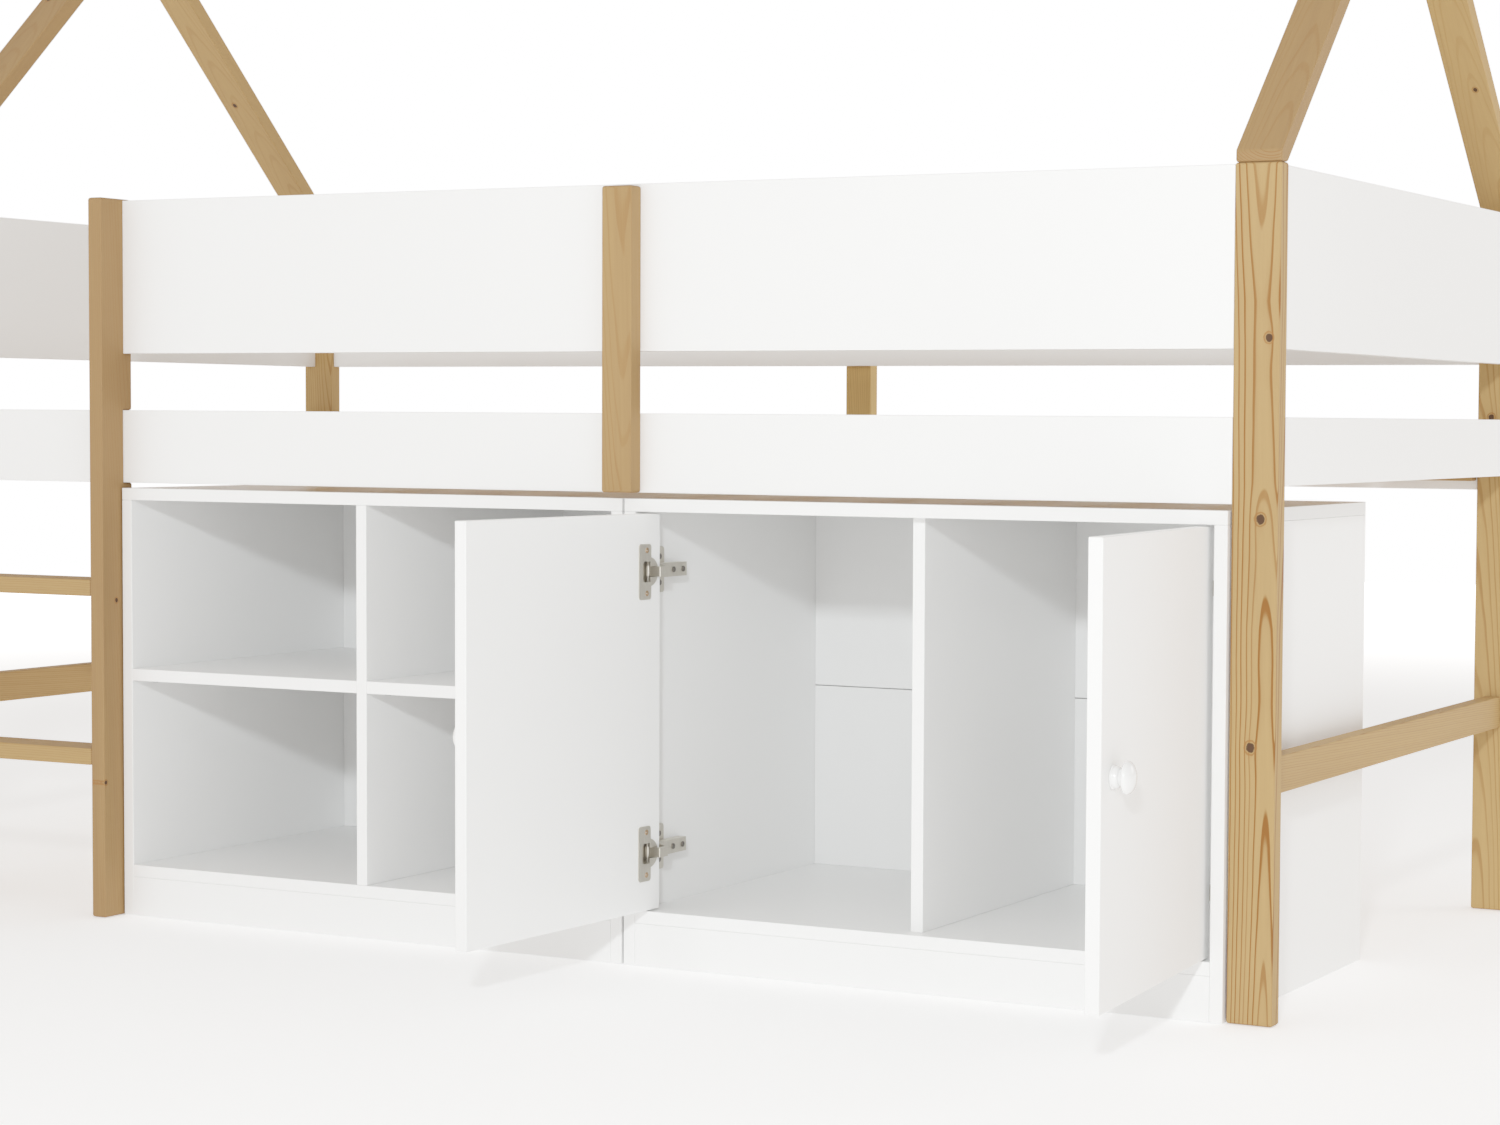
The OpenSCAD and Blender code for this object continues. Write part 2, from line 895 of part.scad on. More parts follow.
// Half outline of the turned knob: a stepped foot, a waist and a flattened round head
function knob_profile() = let (
    r = knob_d / 2,
    foot = 0.75 * r,
    waist = 0.5 * r,
    foot_l = 0.34 * knob_l,
    front_h = 0.38 * knob_l,
    back_h = 0.2 * knob_l,
    head_y = knob_l - front_h,
    turns = [-60:10:80]
) concat(
    [[0, 0], [foot - 0.5, 0], [foot, 0.6], [foot, 1.6], [foot - 0.7, 2.2], [foot - 0.6, 3]],
    [for (a = [30:15:90]) [waist + (foot - 1 - waist) * cos(a), 3 + (foot_l - 3) * sin(a)]],
    [for (a = turns) [r * cos(a), head_y + (a < 0 ? back_h : front_h) * sin(a)]],
    [[0, knob_l]]
);

module knob(sx) {
    color(white)
        on_door(sx)
            difference() {
                translate([knob_x, 0, knob_z])
                    rotate([90, 0, 0])
                        rotate_extrude($fn = 72)
                            polygon(knob_profile());
                door_fixings();
            }
}

// ---------- every node ----------

post(-1, -1);  // post_front_left
post(1, -1);  // post_front_right
post(-1, 1);  // post_back_left
post(1, 1);  // post_back_right
stile(stile_left_x);  // ladder_stile_left
stile(stile_right_x);  // ladder_stile_right
ladder_treads();
upright(upright_x, front_y - plank_t);  // upright_front
upright(0, back_y);  // upright_back
rafter(-1, -1);  // rafter_front_left
rafter(1, -1);  // rafter_front_right
rafter(-1, 1);  // rafter_back_left
rafter(1, 1);  // rafter_back_right
ridge_beam();
end_rail(-1);  // end_rail_left
end_rail(1);  // end_rail_right
guard_front();
long_board(1, guard_z, board_top);  // guard_back
end_board(-1, guard_z, board_top);  // guard_left
end_board(1, guard_z, board_top);  // guard_right
long_board(-1, side_z, side_top);  // side_board_front
long_board(1, side_z, side_top);  // side_board_back
end_board(-1, end_z, side_top);  // end_board_left
end_board(1, end_z, side_top);  // end_board_right
slat_ledgers();
bed_slats();
cam_discs();
cam_bolts();
dowels();
upright_screws();
cab_top(open_x);  // open_unit_top
cab_side(open_x, open_x);  // open_unit_side_left
cab_side(open_x, open_x + cab_w - panel_t);  // open_unit_side_right
cab_divider(open_x, 0);  // open_unit_divider
cab_bottom(open_x);  // open_unit_bottom
open_unit_shelves();
cab_plinths(open_x);  // open_unit_plinths
cab_backs(open_x);  // open_unit_backs
cab_top(cupboard_x);  // cupboard_top
cab_side(cupboard_x, cupboard_x);  // cupboard_side_left
cab_side(cupboard_x, cupboard_x + cab_w - panel_t);  // cupboard_side_right
cab_divider(cupboard_x, divider_recess);  // cupboard_divider
cab_bottom(cupboard_x);  // cupboard_bottom
cab_plinths(cupboard_x);  // cupboard_plinths
cab_backs(cupboard_x);  // cupboard_backs
shelf_pins();
hinge_plates();
hinge_arms();
hinge_screws();
door(-1);  // door_left
knob(-1);  // knob_left
hinge_cups(-1);  // hinge_cups_left
hinge_pins(-1);  // hinge_pins_left
door_screws(-1);  // door_screws_left
door(1);  // door_right
knob(1);  // knob_right
hinge_cups(1);  // hinge_cups_right
hinge_pins(1);  // hinge_pins_right
door_screws(1);  // door_screws_right
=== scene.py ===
"""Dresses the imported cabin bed: rounded pine planks, lacquered boards, turned knobs and metal."""

import json
import math
import random

import bmesh
import bpy
import numpy as np
from mathutils import Matrix, Vector


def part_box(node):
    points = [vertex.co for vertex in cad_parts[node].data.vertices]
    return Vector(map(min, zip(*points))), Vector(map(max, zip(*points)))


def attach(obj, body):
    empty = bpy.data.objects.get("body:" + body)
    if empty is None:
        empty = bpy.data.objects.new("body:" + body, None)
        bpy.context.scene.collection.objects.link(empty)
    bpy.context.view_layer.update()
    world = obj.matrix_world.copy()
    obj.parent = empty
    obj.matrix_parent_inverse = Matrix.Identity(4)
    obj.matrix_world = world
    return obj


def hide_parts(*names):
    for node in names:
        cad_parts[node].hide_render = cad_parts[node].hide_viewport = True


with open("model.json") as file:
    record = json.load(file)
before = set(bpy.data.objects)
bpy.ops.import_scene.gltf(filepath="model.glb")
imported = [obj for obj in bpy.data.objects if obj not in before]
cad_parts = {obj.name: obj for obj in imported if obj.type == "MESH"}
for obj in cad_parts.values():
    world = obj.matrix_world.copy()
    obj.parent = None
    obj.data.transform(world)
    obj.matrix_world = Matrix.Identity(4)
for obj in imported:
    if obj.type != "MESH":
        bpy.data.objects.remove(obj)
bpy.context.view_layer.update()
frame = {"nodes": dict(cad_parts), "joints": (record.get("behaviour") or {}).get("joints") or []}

MM = 0.001
X, Y, Z = Vector((1, 0, 0)), Vector((0, 1, 0)), Vector((0, 0, 1))

# ---------- camera ----------

IMAGE_W, IMAGE_H = 1500, 1125
SENSOR = 36.0
FOCAL_PX = 3073.8
PRINCIPAL = (956.3, 568.6)
CAMERA_AT = Vector((2.2093, -3.4703, 0.6683))
YAW, PITCH, ROLL = (math.radians(a) for a in (26.413, -2.778, 0.393))


def make_camera():
    flat = math.cos(PITCH)
    forward = Vector((-math.sin(YAW) * flat, math.cos(YAW) * flat, math.sin(PITCH)))
    level = Vector((math.cos(YAW), math.sin(YAW), 0))
    upright = level.cross(forward)
    right = math.cos(ROLL) * level + math.sin(ROLL) * upright
    up = -math.sin(ROLL) * level + math.cos(ROLL) * upright
    turn = Matrix((right, up, -forward)).transposed()
    data = bpy.data.cameras.new("photo_camera")
    data.sensor_width = SENSOR
    data.lens = FOCAL_PX / IMAGE_W * SENSOR
    data.shift_x = (IMAGE_W / 2 - PRINCIPAL[0]) / IMAGE_W
    data.shift_y = (PRINCIPAL[1] - IMAGE_H / 2) / IMAGE_W
    data.clip_start, data.clip_end = 0.05, 100
    camera = bpy.data.objects.new("photo_camera", data)
    camera.matrix_world = Matrix.Translation(CAMERA_AT) @ turn.to_4x4()
    bpy.context.scene.collection.objects.link(camera)
    bpy.context.scene.camera = camera


# ---------- node wiring ----------


class Wire:
    """A number travelling through a material's nodes. Sums and products add Math nodes."""

    def __init__(self, tree, socket):
        self.tree = tree
        self.socket = socket

    def math(self, operation, *others, clamp=False):
        node = self.tree.nodes.new("ShaderNodeMath")
        node.operation = operation
        node.use_clamp = clamp
        for i, value in enumerate((self, *others)):
            plug(self.tree, value, node.inputs[i])
        return Wire(self.tree, node.outputs[0])

    def __add__(self, other):
        return self.math("ADD", other)

    def __sub__(self, other):
        return self.math("SUBTRACT", other)

    def __mul__(self, other):
        return self.math("MULTIPLY", other)

    def __truediv__(self, other):
        return self.math("DIVIDE", other)

    def step(self, low, high):
        """0 below low, 1 above high, smooth between."""
        node = self.tree.nodes.new("ShaderNodeMapRange")
        node.interpolation_type = "SMOOTHSTEP"
        plug(self.tree, self, node.inputs["Value"])
        plug(self.tree, low, node.inputs["From Min"])
        plug(self.tree, high, node.inputs["From Max"])
        return Wire(self.tree, node.outputs[0])


def plug(tree, value, socket):
    if isinstance(value, Wire):
        tree.links.new(value.socket, socket)
    else:
        socket.default_value = value


def split(tree, vector):
    node = tree.nodes.new("ShaderNodeSeparateXYZ")
    tree.links.new(vector, node.inputs[0])
    return [Wire(tree, out) for out in node.outputs]


def noise(tree, vector, scales, detail=2.0, offset=(0, 0, 0)):
    """Soft noise about 0, from -0.5 to 0.5, with its own scale along each axis."""
    place = tree.nodes.new("ShaderNodeMapping")
    tree.links.new(vector, place.inputs["Vector"])
    place.inputs["Scale"].default_value = scales
    place.inputs["Location"].default_value = offset
    node = tree.nodes.new("ShaderNodeTexNoise")
    node.inputs["Scale"].default_value = 1.0
    node.inputs["Detail"].default_value = detail
    tree.links.new(place.outputs[0], node.inputs["Vector"])
    return Wire(tree, node.outputs["Fac"]) - 0.5


def chance(tree, number):
    """A fixed random value from 0 to 1 for each whole number."""
    node = tree.nodes.new("ShaderNodeTexWhiteNoise")
    node.noise_dimensions = "1D"
    plug(tree, number, node.inputs["W"])
    return Wire(tree, node.outputs["Value"])


def mix_colour(tree, factor, a, b):
    """Colour a where factor is 0 and b where it is 1. Each is a socket or a fixed colour."""
    node = tree.nodes.new("ShaderNodeMix")
    node.data_type = "RGBA"
    plug(tree, factor, node.inputs["Factor"])
    ends = [socket for socket in node.inputs if socket.type == "RGBA"]
    for colour, socket in zip((a, b), ends):
        if isinstance(colour, tuple):
            socket.default_value = colour
        else:
            tree.links.new(colour, socket)
    return next(out for out in node.outputs if out.type == "RGBA")


def linear(r, g, b):
    """A screen colour, 0 to 255, as the linear colour that Blender mixes."""

    def channel(c):
        c /= 255
        return c / 12.92 if c <= 0.04045 else ((c + 0.055) / 1.055) ** 2.4

    return (channel(r), channel(g), channel(b), 1.0)


def new_material(name):
    material = bpy.data.materials.new(name)
    material.use_nodes = True
    tree = material.node_tree
    return material, tree, tree.nodes["Principled BSDF"]


def add_bump(tree, shader, height, distance):
    node = tree.nodes.new("ShaderNodeBump")
    node.inputs["Strength"].default_value = 1.0
    node.inputs["Distance"].default_value = distance
    plug(tree, height, node.inputs["Height"])
    tree.links.new(node.outputs[0], shader.inputs["Normal"])


# ---------- materials ----------

PINE_PALE = linear(205, 168, 108)
PINE_SHADE = linear(154, 119, 78)
PINE_RING = linear(136, 84, 32)
KNOT_CORE = linear(58, 34, 22)
KNOT_RIM = linear(150, 98, 50)


def pine(name, knots=(), pitch=0.0026, contrast=0.4, wander=0.012, shade=0.64):
    """Knotty pine. The mesh's grain attribute holds metres from the pith, the trunk along its Z.
    The mesh's face attribute holds metres from the plank's middle; a knot is (x, z, radius) there.
    The mesh's end attribute is 1 on end grain, where the rings stand out more. pitch is the width
    of a year's ring and wander how far the rings stray, in metres. shade is 0 for the palest
    boards and 1 for the darkest."""
    material, tree, shader = new_material(name)
    grain = tree.nodes.new("ShaderNodeAttribute")
    grain.attribute_name = "grain"
    grain = grain.outputs["Vector"]
    x, y, _ = split(tree, grain)
    radius = (x * x + y * y).math("SQRT")
    radius = radius + noise(tree, grain, (9, 9, 1.7), 1.5) * wander
    ripple = 0.25 * pitch + 0.05 * wander
    radius = radius + noise(tree, grain, (60, 60, 11), 1.0, (3, 1, 2)) * ripple
    core = rim = None
    if knots:
        face = tree.nodes.new("ShaderNodeAttribute")
        face.attribute_name = "face"
        fx, _, fz = split(tree, face.outputs["Vector"])
        wobble = noise(tree, face.outputs["Vector"], (240, 240, 240), 2.0) * 0.5
        for kx, kz, size in knots:
            dx = (fx - kx) / size
            dz = (fz - kz) / size
            flow = (dx * dx * -0.12 - dz * dz * 0.03).math("EXPONENT")
            radius = radius - flow * (0.35 * pitch)
            gap = (dx * dx + dz * dz * 0.8).math("SQRT") + wobble
            inner = gap.step(1.12, 0.86)
            outer = gap.step(1.7, 1.45) * gap.step(1.05, 1.3)
            flame = (dx * dx * -2.5 - dz * dz * 0.16).math("EXPONENT") * 0.4
            outer = outer.math("MAXIMUM", flame)
            core = inner if core is None else core.math("MAXIMUM", inner)
            rim = outer if rim is None else rim.math("MAXIMUM", outer)
    turn = radius / pitch
    phase = turn.math("FRACT")
    ring = turn.math("FLOOR")
    strength = chance(tree, ring) * 0.45 + 0.55
    edge = chance(tree, ring + 31.7) * 0.26 + 0.68
    end = tree.nodes.new("ShaderNodeAttribute")
    end.attribute_name = "end"
    end = Wire(tree, end.outputs["Fac"]).step(0.3, 0.7)
    late = phase.step(edge - 0.5, edge) * 0.24 + phase.step(edge - 0.23, edge - 0.1) * 0.76
    late = late * phase.step(edge + 0.08, edge) * strength * (end * (0.8 - contrast) + contrast)
    fibre = noise(tree, grain, (1300, 1300, 30), 2.0)
    streak = noise(tree, grain, (230, 230, 3.5), 2.0, (5, 7, 1))
    patch = noise(tree, grain, (14, 14, 1.3), 1.0, (9, 2, 4))
    tone = (patch * 0.3 + streak * 0.22 + end * 0.25 + shade).math("MAXIMUM", 0.0)
    colour = mix_colour(tree, tone, PINE_PALE, PINE_SHADE)
    colour = mix_colour(tree, (late + fibre * 0.16).math("MAXIMUM", 0.0), colour, PINE_RING)
    height = fibre * 0.5 + late * 0.6
    if knots:
        colour = mix_colour(tree, rim * 0.8, colour, KNOT_RIM)
        colour = mix_colour(tree, core * 0.92, colour, KNOT_CORE)
        height = height - core * 1.5
    tree.links.new(colour, shader.inputs["Base Color"])
    plug(tree, fibre * 0.2 + 0.58 - late * 0.08, shader.inputs["Roughness"])
    shader.inputs["Specular IOR Level"].default_value = 0.25
    add_bump(tree, shader, height, 0.0001)
    return material


def lacquer(name, tone, roughness, peel, coat=0.0):
    """Sprayed white lacquer, very slightly uneven in tone, gloss and surface."""
    material, tree, shader = new_material(name)
    place = tree.nodes.new("ShaderNodeTexCoord").outputs["Object"]
    cloud = noise(tree, place, (2.5, 2.5, 2.5), 2.0)
    grit = noise(tree, place, (420, 420, 420), 1.0)
    darker = tuple(c * 0.965 for c in tone[:3]) + (1.0,)
    colour = mix_colour(tree, cloud * 0.8 + 0.5, tone, darker)
    tree.links.new(colour, shader.inputs["Base Color"])
    plug(tree, cloud * 0.08 + grit * 0.05 + roughness, shader.inputs["Roughness"])
    shader.inputs["Coat Weight"].default_value = coat
    shader.inputs["Coat Roughness"].default_value = 0.12
    add_bump(tree, shader, grit + cloud * 8.0, peel)
    return material


def metal(name, tone, roughness, streaks):
    """Plated metal, with the faint streaks of its rolling or turning."""
    material, tree, shader = new_material(name)
    place = tree.nodes.new("ShaderNodeTexCoord").outputs["Object"]
    brushed = noise(tree, place, streaks, 2.0)
    worn = noise(tree, place, (90, 90, 90), 2.0, (4, 4, 4))
    darker = tuple(c * 0.7 for c in tone[:3]) + (1.0,)
    colour = mix_colour(tree, brushed * 0.4 + worn * 0.2 + 0.3, tone, darker)
    tree.links.new(colour, shader.inputs["Base Color"])
    plug(tree, brushed * 0.15 + worn * 0.1 + roughness, shader.inputs["Roughness"])
    shader.inputs["Metallic"].default_value = 1.0
    add_bump(tree, shader, brushed + worn * 0.2, 0.00002)
    return material


# ---------- shapes ----------

SHARP = math.radians(35)
LONG_EDGE = 1.4 * MM
END_EDGE = 3.0 * MM
# Two points nearer than this are one, and a point this far outside a box still belongs to it
WELD = 1e-6
NEAR = 1e-4


def solids(node, turn=None):
    """The corner points of each separate solid of a CAD node, as (lowest, highest), in order.
    turn, if given, is laid on the node first."""
    bm = bmesh.new()
    bm.from_mesh(frame["nodes"][node].data)
    if turn is not None:
        bm.transform(turn)
    bmesh.ops.remove_doubles(bm, verts=bm.verts, dist=WELD)
    left = set(bm.verts)
    found = []
    while left:
        island, queue = [], [left.pop()]
        while queue:
            vert = queue.pop()
            island.append(vert.co.copy())
            for edge in vert.link_edges:
                other = edge.other_vert(vert)
                if other in left:
                    left.remove(other)
                    queue.append(other)
        points = np.array(island)
        found.append((Vector(points.min(0)), Vector(points.max(0))))
    bm.free()
    return sorted(found, key=lambda pair: tuple(round(c, 5) for c in pair[0]))


def add_prism(bm, outline, axis, low, high):
    """A prism on an outline given in the two other axes, in X, Y, Z order, from low to high."""
    across = [i for i in range(3) if i != axis]
    rings = []
    for level in (low, high):
        ring = []
        for a, b in outline:
            co = [0.0, 0.0, 0.0]
            co[across[0]], co[across[1]], co[axis] = a, b, level
            ring.append(bm.verts.new(co))
        rings.append(ring)
    bm.faces.new(rings[0])
    bm.faces.new(rings[1])
    count = len(outline)
    for i in range(count):
        j = (i + 1) % count
        bm.faces.new((rings[0][i], rings[0][j], rings[1][j], rings[1][i]))


def add_box(bm, low, high):
    outline = [(low.x, low.y), (high.x, low.y), (high.x, high.y), (low.x, high.y)]
    add_prism(bm, outline, 2, low.z, high.z)


def link(name, mesh):
    obj = bpy.data.objects.new(name, mesh)
    bpy.context.scene.collection.objects.link(obj)
    return obj


def mesh_from(name, bm):
    bmesh.ops.recalc_face_normals(bm, faces=bm.faces)
    mesh = bpy.data.meshes.new(name)
    bm.to_mesh(mesh)
    bm.free()
    return mesh


def apply_modifiers(obj):
    graph = bpy.context.evaluated_depsgraph_get()
    mesh = bpy.data.meshes.new_from_object(obj.evaluated_get(graph))
    obj.modifiers.clear()
    old = obj.data
    obj.data = mesh
    bpy.data.meshes.remove(old)
    mesh.name = obj.name


def weigh_edges(obj, along):
    """Marks the sharp edges for a bevel that takes its full width only at a plank's ends."""
    bm = bmesh.new()
    bm.from_mesh(obj.data)
    layer = bm.edges.layers.float.new("bevel_weight_edge")
    for edge in bm.edges:
        if edge.calc_face_angle(0) > SHARP:
            run = (edge.verts[1].co - edge.verts[0].co).normalized()
            edge[layer] = LONG_EDGE / END_EDGE if abs(run.dot(along)) > 0.9 else 1.0
    bm.to_mesh(obj.data)
    bm.free()


def soften(obj, radius, segments=3, cutter=None, weighted=False):
    """Rounds every sharp edge, after the holes of cutter have been cut."""
    if cutter is not None:
        hole = obj.modifiers.new("holes", "BOOLEAN")
        hole.operation = "DIFFERENCE"
        hole.solver = "EXACT"
        hole.object = cutter
    bevel = obj.modifiers.new("edges", "BEVEL")
    bevel.width = radius
    bevel.segments = segments
    bevel.limit_method = "WEIGHT" if weighted else "ANGLE"
    bevel.angle_limit = SHARP
    bevel.harden_normals = True
    obj.data.shade_smooth()
    apply_modifiers(obj)
    if cutter is not None:
        bpy.data.objects.remove(cutter)


def write_vectors(obj, name, values):
    attribute = obj.data.attributes.new(name, "FLOAT_VECTOR", "POINT")
    attribute.data.foreach_set("vector", np.asarray(values, np.float32).ravel())


# How far a further piece's trunk is shifted, and how far apart along the trunk the planks of
# different seeds and the pieces of one node are cut, in metres
TRUNK_SHIFT = 0.02
SEED_STEP = 3.7
PIECE_STEP = 1.9


def mark_ends(obj, along):
    """Writes each face's share of end grain: 1 where it is cut straight across the trunk."""
    across = [abs(polygon.normal.dot(along)) for polygon in obj.data.polygons]
    obj.data.attributes.new("end", "FLOAT", "FACE").data.foreach_set("value", across)


def set_grain(obj, boxes, along, seed, trunk):
    """Lays a trunk through each solid. trunk is a list of (along, across, behind) points of the
    pith, in metres from the plank's middle, in rising order; each further solid gets the same
    trunk, shifted a little."""
    shifts = random.Random(seed)
    co = np.array([v.co for v in obj.data.vertices])
    along = np.array(along, float)
    sides = [np.array(v, float) for v in ((1, 0, 0), (0, 1, 0), (0, 0, 1))]
    sizes = np.array(boxes[0][1] - boxes[0][0])
    cross = sorted((s for s in sides if abs(s @ along) < 0.5), key=lambda s: -float(sizes @ s))
    if len(cross) < 2:
        cross = [sides[0], np.cross(along, sides[0])]
    wide, thick = cross
    places, across, behind = (list(column) for column in zip(*trunk))
    grain = np.zeros_like(co)
    face = np.zeros_like(co)
    for k, (low, high) in enumerate(boxes):
        middle = np.array((low + high) / 2)
        inside = np.all((co > np.array(low) - NEAR) & (co < np.array(high) + NEAR), axis=1)
        rel = co[inside] - middle
        u, v, w = rel @ wide, rel @ thick, rel @ along
        shift = (0, 0)
        if k:
            shift = [shifts.uniform(-TRUNK_SHIFT, TRUNK_SHIFT) for _ in range(2)]
        face[inside] = np.stack((u, v, w), 1)
        beside = u - np.interp(w, places, across) - shift[0]
        below = v - np.interp(w, places, behind) - shift[1]
        place = w + seed * SEED_STEP + k * PIECE_STEP
        grain[inside] = np.stack((beside, below, place), 1)
    write_vectors(obj, "grain", grain)
    write_vectors(obj, "face", face)


def finish_piece(obj, node, material, body="bed"):
    obj.data.materials.clear()
    obj.data.materials.append(material)
    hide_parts(node)
    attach(obj, body)
    return obj


# ---------- pine frame ----------

# How far apart a plank is cut across, so that a crooked trunk can be laid through it
GRAIN_STEP = 0.04
pine_plain = pine("pine_clear")


def straight(across, behind, lean=(0.0, 0.0)):
    """A straight pith that passes the plank's middle there and drifts by lean per metre."""
    return [(w, across + lean[0] * w, behind + lean[1] * w) for w in (-2.0, 2.0)]


def slice_along(bm, along, boxes):
    """Cuts planks across at every GRAIN_STEP."""
    reach = [c.dot(along) for box in boxes for c in box]
    count = int((max(reach) - min(reach)) / GRAIN_STEP)
    for i in range(1, count):
        place = along * (min(reach) + i * GRAIN_STEP)
        geometry = bm.verts[:] + bm.edges[:] + bm.faces[:]
        bmesh.ops.bisect_plane(bm, geom=geometry, plane_co=place, plane_no=along)


def plank(node, along, seed, trunk, material=None, outline=None):
    """Replaces a pine node by rounded planks. outline, if given, is its side view in Y and Z."""
    boxes = solids(node)
    bm = bmesh.new()
    if outline:
        low, high = boxes[0]
        add_prism(bm, outline, 0, low.x, high.x)
    else:
        for low, high in boxes:
            add_box(bm, low, high)
    if len(trunk) > 2:
        slice_along(bm, along, boxes)
    obj = link("pine_" + node, mesh_from(node, bm))
    weigh_edges(obj, along)
    soften(obj, END_EDGE, weighted=True)
    mark_ends(obj, along)
    set_grain(obj, boxes, along, seed, trunk)
    return finish_piece(obj, node, material or pine_plain)


def side_view(node):
    """The convex outline, in Y and Z, of a node's flat end."""
    points = [v.co for v in frame["nodes"][node].data.vertices]
    low = min(p.x for p in points)
    flat = sorted({(round(p.y, 6), round(p.z, 6)) for p in points if p.x < low + 1e-5})

    def half(sequence):
        chain = []
        for p in sequence:
            while len(chain) > 1 and (
                (chain[-1][0] - chain[-2][0]) * (p[1] - chain[-2][1])
                - (chain[-1][1] - chain[-2][1]) * (p[0] - chain[-2][0])
            ) <= 1e-9:
                chain.pop()
            chain.append(p)
        return chain[:-1]

    return half(flat) + half(flat[::-1])


def notched_side_view(node):
    """A stile's side view: the lower board runs past in a notch behind it."""
    low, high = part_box(node)
    board_low, board_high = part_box("side_board_front")
    face = board_low.y
    return [
        (low.y, low.z), (high.y, low.z), (high.y, board_low.z), (face, board_low.z),
        (face, board_high.z), (high.y, board_high.z), (high.y, high.z), (low.y, high.z),
    ]


# The front right post: (height, pith right of the middle, pith behind the face), in millimetres,
# and its knots: (height, right of the middle, radius)
FRONT_TRUNK = [
    (0, 16, 5.6), (133, 17, 11), (200, 17, 12.5), (318, 16, 16.5), (370, 15.5, 17), (425, 15, 16.6),
    (545, 13, 22), (600, 11, 24.7), (690, 8.5, 26), (790, 6, 27.3), (820, 5.5, 26.4),
    (952, 4, 21.6),
]
FRONT_KNOTS = [(760, 14.5, 4.2), (561, 7, 4.9), (309, -2, 5.1)]


def make_front_post():
    low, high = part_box("post_front_right")
    half = (high.z - low.z) / 2
    face = (low.y - high.y) / 2
    trunk = [(z * MM - half, x * MM, face + depth * MM) for z, x, depth in FRONT_TRUNK]
    knots = [(x * MM, z * MM - half, size * MM) for z, x, size in FRONT_KNOTS]
    material = pine("pine_post_front_right", knots, 5.0 * MM, 1.12, 1.6 * MM, 0.6)
    plank("post_front_right", Z, 3, trunk, material)


def make_frame():
    make_front_post()
    posts = {
        "post_front_left": (5, straight(0.02, 0.06, (0.02, -0.04)), [(-0.01, 0.12, 0.004)]),
        "post_back_left": (7, straight(0.03, -0.05, (-0.01, 0.05)), [(0.012, -0.1, 0.005)]),
        "post_back_right": (9, straight(-0.03, -0.06, (-0.02, -0.03)), [(-0.008, 0.2, 0.004)]),
    }
    for node, (seed, trunk, knots) in posts.items():
        plank(node, Z, seed, trunk, pine("pine_" + node, knots, 0.0036, 0.55, shade=0.5))
    stile_knots = {
        "ladder_stile_right": [(-0.003, -0.055, 0.0026), (-0.0255, -0.296, 0.0026)],
        "ladder_stile_left": [(0.006, 0.2, 0.004)],
    }
    for i, (node, knots) in enumerate(stile_knots.items()):
        trunk = straight(0.05 - 0.03 * i, 0.09, (-0.03, -0.02))
        material = pine("pine_" + node, knots, contrast=0.22, shade=1.0)
        plank(node, Z, 11 + 2 * i, trunk, material, notched_side_view(node))
    plank("ladder_treads", X, 17, straight(0.01, -0.06, (-0.05, -0.04)))
    fine = pine("pine_upright_front", (), 0.0018, 0.34, shade=0.85)
    plank("upright_front", Z, 19, straight(0.01, 0.09, (-0.03, -0.02)), fine)
    # Painted light: the back upright gets the palest pine, shade 0, standing in for the key light
    # that the boards in front keep off it
    pale = pine("pine_upright_back", shade=0.0)
    plank("upright_back", Z, 21, straight(-0.05, -0.06, (-0.02, -0.03)), pale)
    rafter_knots = {
        "front_left": [(0.004, -0.2, 0.003), (-0.012, 0.12, 0.004)],
        "front_right": [(0.012, 0.02, 0.003), (-0.01, 0.24, 0.004)],
        "back_left": [(-0.004, -0.025, 0.0035)],
        "back_right": [(0.008, -0.1, 0.003), (-0.014, 0.2, 0.004)],
    }
    for i, (side, knots) in enumerate(rafter_knots.items()):
        node = "rafter_" + side
        rise = 1 if side.startswith("front") else -1
        along = Vector((0, rise, 1)).normalized()
        shade = 0.92 if rise > 0 else 0.62
        material = pine("pine_" + node, knots, 0.0022, 0.26, shade=shade)
        trunk = straight(0.002, -0.08, (-0.04, -0.03))
        plank(node, along, 23 + 2 * i, trunk, material, side_view(node))
    plank("ridge_beam", X, 31, straight(0.01, -0.05, (-0.01, -0.015)))
    rail = pine("pine_rail", (), 0.0028, 0.55, shade=0.6)
    for i, side in enumerate(("left", "right")):
        plank("end_rail_" + side, Y, 33 + 2 * i, straight(0.06, 0.03, (-0.03, -0.02)), rail)
    plank("slat_ledgers", X, 37, straight(0.02, 0.04, (-0.01, -0.01)))
    plank("bed_slats", Y, 39, straight(0.01, 0.05, (-0.03, -0.03)))


# ---------- white boards, panels and doors ----------

BOARD_EDGE = 0.8 * MM
white_board = lacquer("white_board", linear(249, 249, 248), 0.36, 0.00002)
white_top = lacquer("white_top", linear(249, 249, 248), 0.14, 0.000005)
white_gloss = lacquer("white_gloss", linear(243, 243, 242), 0.2, 0.00001, coat=0.6)


def add_cylinder(bm, centre, axis, radius, length, segments=48):
    turn = axis.to_track_quat("Z", "Y").to_matrix().to_4x4()
    bmesh.ops.create_cone(
        bm, cap_ends=True, segments=segments, radius1=radius, radius2=radius, depth=length,
        matrix=Matrix.Translation(centre) @ turn,
    )


CAM_R = 7.5 * MM
CAM_DEPTH = 12.5 * MM
# How far a cutter starts in front of the face that it cuts
LEAD = 2 * MM


